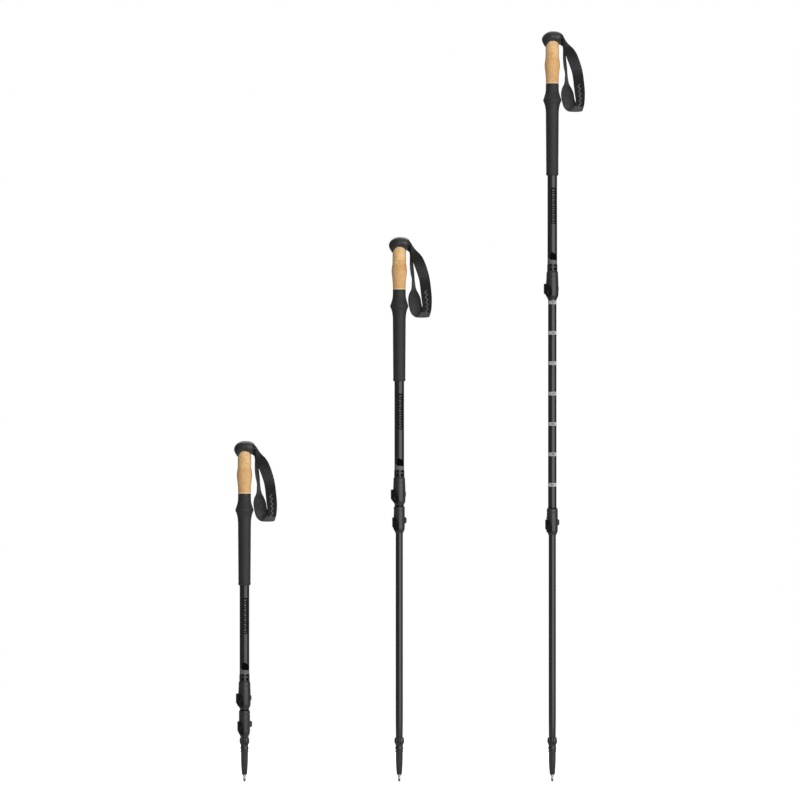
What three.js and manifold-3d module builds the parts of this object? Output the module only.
// A set of three equal three-section trekking poles, standing side by side at three lengths:
// collapsed, with the lower section out, and with both sections out.
// Millimetres, +Z up, +X towards the wrist straps, origin at the medium pole's tip.
import * as THREE from "three";
import { mergeVertices } from "three/addons/utils/BufferGeometryUtils.js";
import Module from "manifold-3d";

const wasm = await Module();
wasm.setup();

// ---- Driving dimensions ----

const GAP = 0.3; // between pieces that touch or fit into each other
const FACETS = 16; // round every piece on the pole's axis, so that the tubes nest facet to facet
const FINE = 10; // round pins, screws and lugs

// Each pole: its place on the ground line, and how far its lower and middle sections are pulled out.
const POLES = [
  { name: "short", x: -258, lowerOut: 0, middleOut: 0 },
  { name: "medium", x: 0, lowerOut: 340, middleOut: 0 },
  { name: "long", x: 255, lowerOut: 336.5, middleOut: 346.5 },
];
const FULL_TRAVEL = 350; // of either slide

const LOWER_TUBE = { outer: 6, inner: 5.2 };
const MIDDLE_TUBE = { outer: 7, inner: 6.2 };
const UPPER_TUBE = { outer: 8, inner: 7.2 };
const LEFT_INSIDE = 65; // from a clamp's mouth to the inner tube's top, at full travel
const BUSHING = { collar: 7.7, spigot: 15, wall: 1.7 };

const TIP_LENGTH = 11.5; // the bare metal below the ferrule
const FERRULE_TOP = 73.6; // the shoulder that the lower shaft stands on
const LOWER_SHAFT_START = FERRULE_TOP + GAP;
const MIDDLE_HOME = 74.5; // the lower clamp's mouth above the ground, collapsed

// A clamp, measured from its mouth. The bore steps from the inner tube to the outer one at `step`.
const LOWER_CLAMP = {
  height: 45.5,
  body: 9.2,
  step: 5.3,
  inner: LOWER_TUBE,
  outer: MIDDLE_TUBE,
  neck: 0,
  leverOuter: 11.9,
  knobHeight: 20.5,
  knobEnd: 12.3,
};
const UPPER_CLAMP = {
  height: 46.7,
  body: 10.3,
  step: 13.6,
  inner: MIDDLE_TUBE,
  outer: UPPER_TUBE,
  neck: 11,
  leverOuter: 14.3,
  knobHeight: 17.8,
  knobEnd: 11.2,
};
const CLAMP_SPACE = 0.8; // between the two clamps when the middle section is home
const UPPER_HOME = LOWER_CLAMP.height + CLAMP_SPACE; // the upper clamp's mouth above the lower clamp's

const LOWER_SHAFT_TOP = MIDDLE_HOME + FULL_TRAVEL + LEFT_INSIDE;
const MIDDLE_SHAFT_TOP = UPPER_HOME + FULL_TRAVEL + LEFT_INSIDE;

// Clamp furniture.
const LEVER_LOW = 2.6; // the finger pad's lower end
const LEVER_HIGH = 25.8;
const LUG_LOW = 4.5; // lower end of the lower lug, which the lever's barrel stands on
const LUG_HEIGHT = 3.8;
const LUG_RADIUS = 2.6; // of the lugs, and of the lever's barrel between them
const PIN_RADIUS = 1.2;
const PIN_ANGLE = THREE.MathUtils.degToRad(125); // round the pole from +X: at the back on the left
const EAR = { left: -4, right: 6.9, back: 16.8, low: 9.5, high: 26.5 };
const SPLIT = { width: 2, height: 36 };
const SCREW = { y: 13.5, radius: 1.5, end: -3.8, knob: 5.7, knobStart: 7.2 };

// The handle, measured from the upper clamp's mouth.
const FOAM = { low: 206, high: 358.8 };
const CORK = { low: FOAM.high + GAP, high: 429.7 };
const HEAD = { low: 430, high: 447.5, frontBack: 17.6, side: 16.2, lip: 7 };
const UPPER_SHAFT_TOP = 431.5;
const SLOT = { back: 4, low: 434.2, high: 440.8, halfWidth: 10.2 };
const STRAP_PIVOT = { x: 16, z: 437.5, radius: 2.5 };
const STRAP_THICK = 1.8;
const STRAP_WIDTH = 19;

// ---- Materials ----

const material = (color, roughness, metalness) => new THREE.MeshStandardMaterial({ color, roughness, metalness });
const cork = material(0xdcb27c, 0.85, 0);
const foam = material(0x303234, 0.95, 0);
const moulding = material(0x26272a, 0.55, 0);
const anodised = material(0x1c1d1f, 0.35, 0.6);
const steel = material(0xb9babd, 0.3, 1);
const nylon = material(0x3a3b3d, 0.7, 0);
const webbing = material(0x18191b, 0.95, 0);
const pinSteel = material(0x8d8f92, 0.35, 1);

// ---- Helpers ----

const solidFrom = (geometry) => {
  const bare = geometry.clone();
  bare.deleteAttribute("normal");
  bare.deleteAttribute("uv");
  const merged = mergeVertices(bare, 1e-4);
  const vertProperties = new Float32Array(merged.attributes.position.array);
  const triVerts = new Uint32Array(merged.index.array);
  return new wasm.Manifold(new wasm.Mesh({ numProp: 3, vertProperties, triVerts }));
};

const geometryFrom = (solid) => {
  const { vertProperties, triVerts } = solid.getMesh();
  const geometry = new THREE.BufferGeometry();
  geometry.setAttribute("position", new THREE.BufferAttribute(vertProperties, 3));
  geometry.setIndex(new THREE.BufferAttribute(triVerts, 1));
  geometry.computeVertexNormals();
  return geometry;
};

// The first geometry with all of `added` joined to it and all of `cut` taken away.
const carve = (base, added, cut) => {
  const whole = added.reduce((solid, piece) => solid.add(solidFrom(piece)), solidFrom(base));
  return geometryFrom(cut.reduce((solid, piece) => solid.subtract(solidFrom(piece)), whole));
};

// A body of revolution about +Z. The outline is [radius, height] points, counter-clockwise seen with the
// radius to the right and the height up.
const turned = (outline, facets = FACETS) => {
  const points = outline.map(([radius, height]) => new THREE.Vector2(radius, height));
  return new THREE.LatheGeometry(points, facets).rotateX(Math.PI / 2);
};

// A ring, with its section's outline closed on itself.
const ring = (outline, facets = FACETS) => turned([...outline, outline[0]], facets);

const tube = ({ outer, inner }, low, high) =>
  ring([
    [inner, low],
    [outer, low],
    [outer, high],
    [inner, high],
  ]);

const rod = (radius, low, high, facets = FINE) =>
  turned(
    [
      [0, low],
      [radius, low],
      [radius, high],
      [0, high],
    ],
    facets,
  );

const block = (low, high) => {
  const size = high.map((value, axis) => value - low[axis]);
  const centre = high.map((value, axis) => (value + low[axis]) / 2);
  return new THREE.BoxGeometry(...size).translate(...centre);
};

// A flat outline in X and Z, as a plate from `front` to `back` along Y.
const plateXZ = (outline, front, back) => {
  const shape = new THREE.Shape(outline.map(([x, z]) => new THREE.Vector2(x, z)));
  const plate = new THREE.ExtrudeGeometry(shape, { depth: back - front, bevelEnabled: false });
  return plate.rotateX(Math.PI / 2).translate(0, back, 0);
};

// A flat outline in Y and Z, as a plate from `left` to `right` along X.
const plateYZ = (outline, left, right) => {
  const shape = new THREE.Shape(outline.map(([y, z]) => new THREE.Vector2(y, z)));
  const plate = new THREE.ExtrudeGeometry(shape, { depth: right - left, bevelEnabled: false });
  return plate.rotateX(Math.PI / 2).rotateZ(Math.PI / 2).translate(left, 0, 0);
};

// ---- Lower section, measured from the tip ----

const carbideTip = () =>
  turned(
    [
      [0, 0],
      [1.6, 0],
      [2.1, 1.5],
      [2.2, TIP_LENGTH - 2.6],
      [3.1, TIP_LENGTH - 1.8],
      [3.1, TIP_LENGTH],
      [2.2, TIP_LENGTH],
      [2.2, 25.7],
      [0, 25.7],
    ],
    FINE,
  );

const tipFerrule = () =>
  turned([
    [0, 26],
    [2.5, 26],
    [2.5, TIP_LENGTH + GAP],
    [4.2, TIP_LENGTH + GAP],
    [5.1, 22],
    [5.8, 34],
    [5.9, 48],
    [6.6, 51],
    [6.6, 54.5],
    [6, 58.5],
    [8.2, 64.5],
    [8.2, 67.5],
    [6.5, FERRULE_TOP],
    [LOWER_TUBE.inner - GAP, FERRULE_TOP],
    [LOWER_TUBE.inner - GAP, FERRULE_TOP + 24],
    [0, FERRULE_TOP + 24],
  ]);

// The lower end is swaged a little thinner, just above the ferrule.
const lowerShaft = () =>
  ring([
    [LOWER_TUBE.inner, LOWER_SHAFT_START],
    [LOWER_TUBE.outer - GAP, LOWER_SHAFT_START],
    [LOWER_TUBE.outer, LOWER_SHAFT_START + 30],
    [LOWER_TUBE.outer, LOWER_SHAFT_TOP],
    [LOWER_TUBE.inner, LOWER_SHAFT_TOP],
  ]);

// A hollow guide plug: its spigot sits in the tube's top end and its collar runs in the next tube up.
const bushing = ({ outer, inner }, top) => {
  const bore = inner - GAP - BUSHING.wall;
  return ring([
    [bore, top - BUSHING.spigot],
    [inner - GAP, top - BUSHING.spigot],
    [inner - GAP, top + GAP],
    [outer, top + GAP],
    [outer, top + GAP + BUSHING.collar],
    [bore, top + GAP + BUSHING.collar],
  ]);
};

// ---- Clamps, measured from the clamp's mouth ----

// The pin stands off the sleeve, so that the lever's round barrel clears it at every angle.
const pinReach = (clamp) => clamp.body + LUG_RADIUS + GAP;

const pinPlace = (clamp) => {
  const reach = pinReach(clamp);
  return [reach * Math.cos(PIN_ANGLE), reach * Math.sin(PIN_ANGLE)];
};

// A lug with its web back to the sleeve, as two pieces that overlap.
const pinLug = (clamp, low) => {
  const [x, y] = pinPlace(clamp);
  const high = low + LUG_HEIGHT;
  const web = block([clamp.body - 1.4, -LUG_RADIUS, low], [pinReach(clamp), LUG_RADIUS, high]);
  return [rod(LUG_RADIUS, low, high).translate(x, y, 0), web.rotateZ(PIN_ANGLE)];
};

// The collar: a stepped sleeve with a split at the back, two ears for the tension screw and two lugs for the
// lever's pin.
const clampCollar = (clamp) => {
  const { body, height, step, neck } = clamp;
  const passing = clamp.inner.outer + GAP;
  const gripping = clamp.outer.outer + GAP;
  const top = height + neck;
  const neckRadius = gripping + 0.6;
  const sleeve = ring([
    [passing, 0],
    [passing + 0.6, 0],
    [body - 0.2, 6],
    [body, 8],
    [body, height - 2.5],
    [neck ? neckRadius : body - 1, height],
    ...(neck ? [[neckRadius, top]] : []),
    [gripping, top],
    [gripping, step],
    [passing, step],
  ]);
  const [x, y] = pinPlace(clamp);
  const ears = block([EAR.left, passing + 1.5, EAR.low], [EAR.right, EAR.back, EAR.high]);
  const lugs = [...pinLug(clamp, LUG_LOW), ...pinLug(clamp, LEVER_HIGH + GAP)];
  const bore = rod(gripping, step, top + 1, FACETS);
  const mouth = rod(passing, -1, step + 1, FACETS);
  const split = block([-SPLIT.width / 2, 0, -1], [SPLIT.width / 2, EAR.back + 1, SPLIT.height]);
  const pinHole = rod(PIN_RADIUS + GAP, 0, height).translate(x, y, 0);
  const screwHole = rod(SCREW.radius + GAP, EAR.left - 1, EAR.right + 1)
    .rotateY(Math.PI / 2)
    .translate(0, SCREW.y, clamp.knobHeight);
  return carve(sleeve, [ears, ...lugs], [bore, mouth, split, pinHole, screwHole]);
};

const leverPin = (clamp) => {
  const [x, y] = pinPlace(clamp);
  return rod(PIN_RADIUS, LUG_LOW, LEVER_HIGH + GAP + LUG_HEIGHT).translate(x, y, 0);
};

// The lever: a curved plate round the left side, from its barrel on the pin to the finger pad at the front.
const camLever = (clamp) => {
  const inside = clamp.body + 0.4;
  const front = THREE.MathUtils.degToRad(268);
  const shape = new THREE.Shape();
  shape.absarc(0, 0, clamp.leverOuter, PIN_ANGLE, front, false);
  shape.absarc(0, 0, inside, front, PIN_ANGLE, true);
  const plate = new THREE.ExtrudeGeometry(shape, {
    depth: LEVER_HIGH - LEVER_LOW,
    bevelEnabled: false,
    curveSegments: 7,
  }).translate(0, 0, LEVER_LOW);
  const sideOutline = plateXZ(
    [
      [-16, 9],
      [-clamp.leverOuter, 9],
      [-inside + 2.5, LEVER_LOW],
      [1, LEVER_LOW],
      [1, 18.5],
      [-4, 21],
      [-7.5, LEVER_HIGH],
      [-16, LEVER_HIGH],
    ],
    -18,
    18,
  );
  const barrelLow = LUG_LOW + LUG_HEIGHT + GAP;
  const frontOutline = plateYZ(
    [
      [-18, LEVER_LOW],
      [1, LEVER_LOW],
      [1, barrelLow],
      [18, barrelLow],
      [18, LEVER_HIGH],
      [-18, LEVER_HIGH],
    ],
    -18,
    18,
  );
  const [x, y] = pinPlace(clamp);
  const barrel = rod(LUG_RADIUS, barrelLow, LEVER_HIGH).translate(x, y, 0);
  const pinHole = rod(PIN_RADIUS + GAP, LUG_LOW, LEVER_HIGH + 1).translate(x, y, 0);
  const bodySpace = rod(inside, -1, LEVER_HIGH + 1, FACETS);
  const earSpace = block([EAR.left - GAP, 0, 0], [EAR.right, 20, LEVER_HIGH + 1]);
  const trimmed = solidFrom(plate).intersect(solidFrom(sideOutline));
  const lever = trimmed.intersect(solidFrom(frontOutline)).add(solidFrom(barrel));
  return carve(geometryFrom(lever), [], [pinHole, bodySpace, earSpace]);
};

// The tension screw along X, with its knurled thumb knob on the right.
const clampScrew = (clamp) =>
  turned(
    [
      [0, SCREW.end],
      [SCREW.radius, SCREW.end],
      [SCREW.radius, SCREW.knobStart],
      [SCREW.knob, SCREW.knobStart],
      [SCREW.knob, clamp.knobEnd - 1.2],
      [SCREW.knob - 1.4, clamp.knobEnd],
      [0, clamp.knobEnd],
    ],
    FINE,
  )
    .rotateY(Math.PI / 2)
    .translate(0, SCREW.y, clamp.knobHeight);

// ---- Handle, measured from the upper clamp's mouth ----

const GRIP_BORE = UPPER_TUBE.outer + GAP;

// A straight foam sleeve with a pointed bulge near its top, where the hand's heel rests.
const foamGrip = () =>
  ring([
    [GRIP_BORE, FOAM.low],
    [10.2, FOAM.low],
    [10.8, FOAM.low + 1.5],
    [10.8, 311],
    [12, 319],
    [15.1, 332.5],
    [12.2, 345],
    [11, 352],
    [11, FOAM.high],
    [GRIP_BORE, FOAM.high],
  ]);

const corkGrip = () =>
  ring([
    [GRIP_BORE, CORK.low],
    [10.6, CORK.low],
    [10.7, 370],
    [12.9, 390],
    [11.9, 400],
    [11.2, 418],
    [11.2, CORK.high],
    [GRIP_BORE, CORK.high],
  ]);

// The head cap: a palm rest whose lip hangs lower at the front and the back than at the sides, with a socket
// for the upper shaft and a slot on the right for the strap and its wedge.
const headCap = () => {
  const skirt = 11.6;
  const dome = turned(
    [
      [0, HEAD.low],
      [skirt, HEAD.low],
      [skirt + 0.1, HEAD.low - 1],
      [skirt + 1.6, HEAD.low - 1],
      [16.6, HEAD.low + 2.5],
      [HEAD.frontBack, HEAD.low + 7],
      [16.8, HEAD.low + 13],
      [13.6, HEAD.high - 1.3],
      [10, HEAD.high],
      [0, HEAD.high],
    ],
    24,
  );
  const place = dome.attributes.position;
  for (let i = 0; i < place.count; i++) {
    const x = place.getX(i);
    const y = place.getY(i);
    const z = place.getZ(i);
    const frontness = (x * x) / Math.max(x * x + y * y, 1e-9);
    if (z < HEAD.low) place.setZ(i, z - (HEAD.lip - 1) * frontness);
    place.setY(i, Math.hypot(x, y) > skirt + 0.2 ? (y * HEAD.side) / HEAD.frontBack : y);
  }
  const socket = rod(GRIP_BORE, HEAD.low - 1, UPPER_SHAFT_TOP + GAP, FACETS);
  const slot = block([SLOT.back, -SLOT.halfWidth, SLOT.low], [30, SLOT.halfWidth, SLOT.high]);
  return carve(dome, [], [socket, slot]);
};

// The wedge fills the slot behind the strap's doubled end.
const strapWedge = () => {
  const end = STRAP_PIVOT.x - STRAP_PIVOT.radius - GAP;
  const start = SLOT.back + GAP;
  const outline = [
    [start, SLOT.low + 1.2],
    [start + 3, SLOT.low + GAP],
    [end, SLOT.low + GAP],
    [end, SLOT.high - GAP],
    [start + 3, SLOT.high - GAP],
    [start, SLOT.high - 1.2],
  ];
  return plateXZ(outline, GAP - SLOT.halfWidth, SLOT.halfWidth - GAP);
};

// The strap's two arms, as stations down the webbing: [x, y, z, width, turn, lean]. The turn is the angle of
// the width from straight across the pole (Y) into the loop's own plane, and the lean is its tilt there.
const OUTER_ARM = [
  [16.2, 0, 438.5, 19, 0, 45],
  [18.4, 0, 436.2, 19, 5, 45],
  [20.6, -0.4, 430.9, 19, 14, 45],
  [23.1, -0.8, 424.2, 19, 28, 42],
  [26.6, -1.4, 417.9, 19, 45, 40],
  [29.9, -2, 412.4, 19, 62, 37],
  [34.4, -3, 403.2, 19, 82, 27],
  [39.8, -4, 389.6, 19, 90, 17],
  [43.2, -4.6, 375, 19, 90, 9],
  [45.6, -5, 355, 19, 90, 4],
  [46.4, -5, 338, 18.6, 90, 0],
  [45, -5, 325, 18.6, 90, -4],
  [42.6, -4.2, 318.6, 19, 90, 0],
  [40.6, 0, 315.2, 20, 90, 0],
];
const INNER_ARM = [
  [40.6, 0, 315.2, 20, 90, 0],
  [37, 4.2, 318.2, 20, 90, 0],
  [30.8, 5, 325, 21, 90, 8],
  [27.7, 5, 334, 21.5, 90, 6],
  [26.2, 5, 343, 21.8, 90, 2],
  [24.9, 4.6, 352.5, 19, 70, 0],
  [24, 3.6, 360, 19, 32, 0],
  [23.4, 2.6, 368, 19, 17, 0],
  [22.8, 1.6, 378, 19, 12, 0],
  [21.8, 0.8, 390, 19, 13, 0],
  [21.2, 0, 405, 19, 14, 0],
  [20.4, 0, 418, 19, 12, 0],
  [19.8, 0, 428, 19, 6, 0],
  [18.5, 0, 434.4, 19, 0, -30],
  [16.2, 0, 436.5, 19, 0, -45],
];

// A flat ribbon through its stations: four corners at each, closed at both ends.
const ribbon = (stations) => {
  const centres = stations.map(([x, y, z]) => new THREE.Vector3(x, y, z));
  const corners = stations.flatMap(([, , , width, turn, lean], i) => {
    const [twist, tilt] = [turn, lean].map(THREE.MathUtils.degToRad);
    const inPlane = new THREE.Vector3(Math.cos(tilt), 0, Math.sin(tilt));
    const across = new THREE.Vector3(0, Math.cos(twist), 0).addScaledVector(inPlane, Math.sin(twist));
    const before = centres[Math.max(i - 1, 0)];
    const after = centres[Math.min(i + 1, centres.length - 1)];
    const along = after.clone().sub(before).normalize();
    const through = new THREE.Vector3().crossVectors(along, across).normalize();
    return [
      [-1, -1],
      [1, -1],
      [1, 1],
      [-1, 1],
    ].map(([side, face]) =>
      centres[i]
        .clone()
        .addScaledVector(across, (side * width) / 2)
        .addScaledVector(through, (face * STRAP_THICK) / 2),
    );
  });
  const faces = [0, 2, 1, 0, 3, 2];
  for (let i = 0; i + 1 < stations.length; i++)
    for (let side = 0; side < 4; side++) {
      const [a, b] = [4 * i + side, 4 * i + ((side + 1) % 4)];
      faces.push(a, b + 4, a + 4, a, b, b + 4);
    }
  const last = 4 * (stations.length - 1);
  faces.push(last, last + 1, last + 2, last, last + 2, last + 3);
  const geometry = new THREE.BufferGeometry().setFromPoints(corners);
  geometry.setIndex(faces);
  return geometry;
};

const wristStrap = () => {
  const doubledEnd = rod(STRAP_PIVOT.radius, -STRAP_WIDTH / 2, STRAP_WIDTH / 2)
    .rotateX(-Math.PI / 2)
    .translate(STRAP_PIVOT.x, 0, STRAP_PIVOT.z);
  return carve(doubledEnd, [ribbon(OUTER_ARM), ribbon(INNER_ARM)], []);
};

// ---- The set ----

// Each section's pieces: name, geometry, material. A section's heights start at its own clamp's mouth, and
// the lower section's at the tip.
const SECTIONS = {
  lower: [
    ["carbide_tip", carbideTip(), steel],
    ["tip_ferrule", tipFerrule(), moulding],
    ["lower_shaft", lowerShaft(), anodised],
    ["lower_bushing", bushing(LOWER_TUBE, LOWER_SHAFT_TOP), nylon],
  ],
  middle: [
    ["middle_shaft", tube(MIDDLE_TUBE, LOWER_CLAMP.step + GAP, MIDDLE_SHAFT_TOP), anodised],
    ["middle_bushing", bushing(MIDDLE_TUBE, MIDDLE_SHAFT_TOP), nylon],
    ["lower_clamp", clampCollar(LOWER_CLAMP), moulding],
    ["lower_lever", camLever(LOWER_CLAMP), moulding],
    ["lower_lever_pin", leverPin(LOWER_CLAMP), pinSteel],
    ["lower_clamp_screw", clampScrew(LOWER_CLAMP), moulding],
  ],
  upper: [
    ["upper_shaft", tube(UPPER_TUBE, UPPER_CLAMP.step + GAP, UPPER_SHAFT_TOP), anodised],
    ["upper_clamp", clampCollar(UPPER_CLAMP), moulding],
    ["upper_lever", camLever(UPPER_CLAMP), moulding],
    ["upper_lever_pin", leverPin(UPPER_CLAMP), pinSteel],
    ["upper_clamp_screw", clampScrew(UPPER_CLAMP), moulding],
    ["foam_grip", foamGrip(), foam],
    ["cork_grip", corkGrip(), cork],
    ["head_cap", headCap(), moulding],
    ["strap_wedge", strapWedge(), moulding],
    ["wrist_strap", wristStrap(), webbing],
  ],
};

const set = new THREE.Group();
for (const pole of POLES) {
  const middleHeight = MIDDLE_HOME + pole.lowerOut;
  const heights = { lower: 0, middle: middleHeight, upper: middleHeight + UPPER_HOME + pole.middleOut };
  for (const [section, pieces] of Object.entries(SECTIONS)) {
    const group = new THREE.Group();
    group.position.set(pole.x, 0, heights[section]);
    for (const [name, geometry, finish] of pieces) {
      const mesh = new THREE.Mesh(geometry, finish.clone());
      mesh.name = `${pole.name}_${name}`;
      group.add(mesh);
    }
    set.add(group);
  }
}

export default set;
